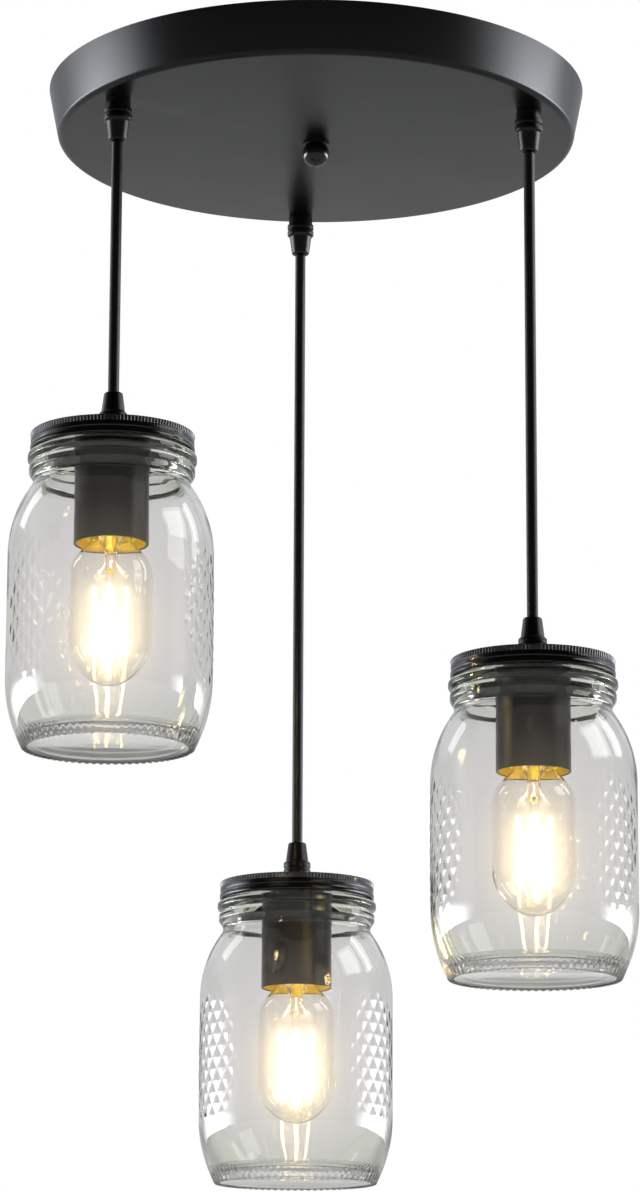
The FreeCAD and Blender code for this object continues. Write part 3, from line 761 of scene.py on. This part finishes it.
def straight_wire(length, x, z, tilt):
    """Thin wire with its middle at a place in millimetres, tilted about the Y axis."""
    wire_r = 0.3
    start_piece()
    bpy.ops.mesh.primitive_cylinder_add(
        vertices=10, radius=wire_r * MM, depth=length * MM, rotation=(0, tilt, 0),
        location=(x * MM, 0, z * MM))
    bpy.ops.object.transform_apply(location=True, rotation=True, scale=True)
    return bpy.context.object


def filament_set():
    """The four filament sticks on their circle, and the wires that carry them."""
    count, rod_side, end_inset = 4, 1.0, 0.4
    lead_length, lead_x = 30.0, 2.0
    stick = turned("filament_stick", soft_profile([
        (0, filament_top), (filament_r, filament_top, 0.5), (filament_r, filament_bottom, 0.5),
        (0, filament_bottom),
    ], 20.0), 16, closed=False)
    arm = straight_wire(filament_circle_r - rod_side, (filament_circle_r + rod_side) / 2, 0, math.pi / 2)
    lead = straight_wire(lead_length, lead_x, filament_top + lead_length / 2, 0)
    sticks, wires = [], []
    for k in range(count):
        degrees = 360 / count * k
        turn = math.radians(degrees)
        x, y = filament_circle_r * math.cos(turn), filament_circle_r * math.sin(turn)
        sticks.append(copied(stick, "sticks", x, y, 0))
        for z in (filament_top - end_inset, filament_bottom + end_inset):
            wires.append(copied(arm, "wires", 0, 0, z, degrees))
    wires += [copied(lead, "wires", 0, 0, 0, degrees) for degrees in (0, 180)]
    for master in (stick, arm, lead):
        removed(master)
    return joined("filament_sticks", sticks), joined("filament_wires", wires)


def pendant_pieces():
    """Every piece of a pendant modelled once, and a copy of it in each place."""
    sticks, wires = filament_set()
    masters = (
        (lid_band(), "band_turning", lacquer, "band", "black_paint", "lid_band"),
        (jar(), "jar_pressing", jar_glass, "jar", "jar_glass", "jar"),
        (socket_cup(), "cup_drawing", paint, "lid", "black_paint", "socket_cup"),
        (cup_lining(), "shell_skirt", brass, "lid", "brass", None),
        (bulb_glass(), "lamp_tube", lamp_glass, "bulb", "bulb_glass", "bulb_glass"),
        (bulb_stem(), "lamp_stem", lamp_glass, "bulb", "bulb_glass", "bulb_stem"),
        (sticks, "filament_sticks", filament_glow, "bulb", "filament", "bulb_filaments"),
        (wires, "filament_wires", nickel, "bulb", "bulb_cap_metal", None),
    )
    for name, pendant in pendants.items():
        x, y = place_of(name)
        for master, piece, material, body, slot, node in masters:
            turn = pendant["jar_turn"] if body == "jar" else 0.0
            copy = copied(master, name + "_" + piece, x, y, pendant["lid"], turn)
            finished(copy, material, name + "_" + body, slot, *([name + "_" + node] if node else []))
            if material in (jar_glass, lamp_glass):
                lets_light_through(copy)
    for master, *_ in masters:
        removed(master)


pendant_pieces()


def pale_floor():
    """Wide pale floor far below the part."""
    start_piece()
    bpy.ops.mesh.primitive_plane_add(size=60.0, location=(0, 0, -2.4))
    floor = bpy.context.object
    floor.name = "studio_floor"
    coated(floor, new_material("pale_floor", Base_Color=linear("#eeeeec"), Roughness=0.9))


def eased(tree, value, start, end, first=0.0, last=1.0):
    """A level that eases from the first to the last while a value goes from start to end."""
    inputs = {"Value": value, "From Min": start, "From Max": end, "To Min": first, "To Max": last}
    return add(tree, "ShaderNodeMapRange", inputs, interpolation_type="SMOOTHSTEP").outputs["Result"]


def reckoned(tree, operation, *values):
    """Result of a sum on numbers and other nodes' outputs."""
    return add(tree, "ShaderNodeMath", dict(enumerate(values)), operation=operation).outputs["Value"]


def grey_by_height(tree, height, greys):
    """Grey that changes with a direction's height, from -1 to 1, through pairs of a height and a grey."""
    inputs = {"Value": height, "From Min": -1.0, "From Max": 1.0}
    share = add(tree, "ShaderNodeMapRange", inputs).outputs["Result"]
    level = add(tree, "ShaderNodeValToRGB", {"Fac": share})
    stops = level.color_ramp.elements
    for z, grey in greys:
        stop = stops.new((z + 1) / 2)
        stop.color = (grey, grey, grey, 1)
    stops.remove(stops[0])
    stops.remove(stops[-1])
    return level.outputs["Color"]


def surround():
    """World: a white sheet for the camera, a soft surround for what is mirrored, and another behind glass."""
    world = bpy.data.worlds.new("studio_surround")
    bpy.context.scene.world = world
    world.use_nodes = True
    tree = world.node_tree
    tree.nodes.clear()
    path = add(tree, "ShaderNodeLightPath")
    way = add(tree, "ShaderNodeTexCoord").outputs["Generated"]
    parts = add(tree, "ShaderNodeSeparateXYZ", {"Vector": way})
    x, y, z = (parts.outputs[axis] for axis in "XYZ")

    # the surround is dark in front, pale behind and dim overhead, with a low bright board on each side
    behind = eased(tree, y, -0.35, 0.28)
    level = grey_by_height(
        tree, z, ((-0.33, 0.75), (0.0, 0.5), (0.26, 0.5), (0.38, 1.0), (0.6, 1.0), (0.75, 0.25)))
    beside = eased(tree, y, 0.3, 0.85, 20.0, 0.0)
    low = eased(tree, z, 0.03, 0.14, 1.0, 0.0)
    boards = reckoned(tree, "MULTIPLY_ADD", beside, low, level)
    glow = reckoned(tree, "MULTIPLY_ADD", behind, boards, 0.01)
    around = add(tree, "ShaderNodeBackground", {"Color": (0.95, 0.98, 1.05, 1), "Strength": glow})

    # glass shows a white sheet straight behind it on each of four sides, and a darker tone in its edges
    edge_tone, sheet_tone = 0.33, 0.72
    straight = eased(tree, reckoned(tree, "ABSOLUTE", y), 0.55, 0.93, edge_tone, sheet_tone)
    sideways = eased(tree, reckoned(tree, "ABSOLUTE", x), 0.93, 0.985, edge_tone, sheet_tone)
    sheets = reckoned(tree, "MAXIMUM", straight, sideways)
    through = add(tree, "ShaderNodeBackground", {"Color": (1, 0.982, 1.05, 1), "Strength": sheets})

    sheet = add(tree, "ShaderNodeBackground", {"Color": (1, 1, 1, 1), "Strength": 1.0})
    unseen = add(tree, "ShaderNodeMixShader", {
        0: path.outputs["Is Transmission Ray"], 1: around.outputs[0], 2: through.outputs[0]})
    seen = add(tree, "ShaderNodeMixShader", {
        0: path.outputs["Is Camera Ray"], 1: unseen.outputs[0], 2: sheet.outputs[0]})
    add(tree, "ShaderNodeOutputWorld", {"Surface": seen.outputs[0]})


def new_light(name, kind, place, power):
    """Light of a kind at its place, and the object that carries it."""
    light = bpy.data.lights.new(name, kind)
    light.energy = power
    holder = bpy.data.objects.new(name, light)
    bpy.context.scene.collection.objects.link(holder)
    holder.location = place
    return light, holder


def windows():
    """High side windows: a wide one of two panes on the right and a narrow one on the left."""
    middle = Vector((0, 0, -0.35))
    for name, place, size, power in (
            ("right_wide_pane", (1.56, -0.25, 0.52), (0.8, 0.75), 6.0),
            ("right_narrow_pane", (1.46, 0.59, 0.52), (0.3, 0.75), 2.4),
            ("left_pane", (-1.34, 0.75, 0.59), (0.25, 0.6), 1.4)):
        light, pane = new_light(name, "AREA", place, power)
        light.shape = "RECTANGLE"
        light.size, light.size_y = size
        pane.rotation_euler = (middle - Vector(place)).to_track_quat("-Z", "Y").to_euler()


def floor_washes():
    """Washes from overhead that light the floor, more of it far behind, and aren't mirrored in the glass."""
    wash, overhead = new_light("floor_wash", "SUN", (0, 0, 2.0), 0.8)
    wash.angle = math.radians(90.0)
    far_wash, far_overhead = new_light("far_floor_wash", "AREA", (0, 20.0, 0.5), 850.0)
    far_wash.shape = "RECTANGLE"
    far_wash.size, far_wash.size_y = 40.0, 20.0
    for holder in (overhead, far_overhead):
        holder.visible_glossy = False
        holder.visible_transmission = False
        holder.visible_camera = False


def camera():
    """Camera below the part, looking up as the photograph does."""
    lens = bpy.data.cameras.new("camera")
    lens.sensor_width = 36.0
    lens.lens = 124.16
    view = bpy.data.objects.new("camera", lens)
    bpy.context.scene.collection.objects.link(view)
    view.location = (0, -2.1974, -0.7918)
    pitch, yaw, roll = (math.radians(a) for a in (12.886, 0.089, 0.247))
    ahead = Vector((math.sin(yaw) * math.cos(pitch), math.cos(yaw) * math.cos(pitch), math.sin(pitch)))
    view.rotation_mode = "QUATERNION"
    view.rotation_quaternion = ahead.to_track_quat("-Z", "Y") @ Quaternion((0, 0, 1), roll)
    bpy.context.scene.camera = view


def bloom(scene):
    """Soft glow round the lit filaments, as a lens gives it."""
    scene.use_nodes = True
    tree = scene.node_tree
    tree.nodes.clear()
    picture = add(tree, "CompositorNodeRLayers").outputs["Image"]
    glow = add(tree, "CompositorNodeGlare", {
        "Image": picture, "Threshold": 2.0, "Maximum": 8.0, "Clamp": True, "Size": 0.25}, glare_type="BLOOM")
    halo = add(tree, "CompositorNodeExposure", {"Image": glow.outputs["Glare"], "Exposure": 0.6})
    both = add(tree, "CompositorNodeMixRGB", {1: picture, 2: halo.outputs["Image"]}, blend_type="ADD")
    add(tree, "CompositorNodeComposite", {"Image": both.outputs["Image"]})


pale_floor()
surround()
windows()
floor_washes()
camera()
scene = bpy.context.scene
scene.view_settings.view_transform = "Standard"
scene.cycles.max_bounces = 24
scene.cycles.transmission_bounces = 20
scene.cycles.glossy_bounces = 8
scene.cycles.sample_clamp_indirect = 30.0
bloom(scene)
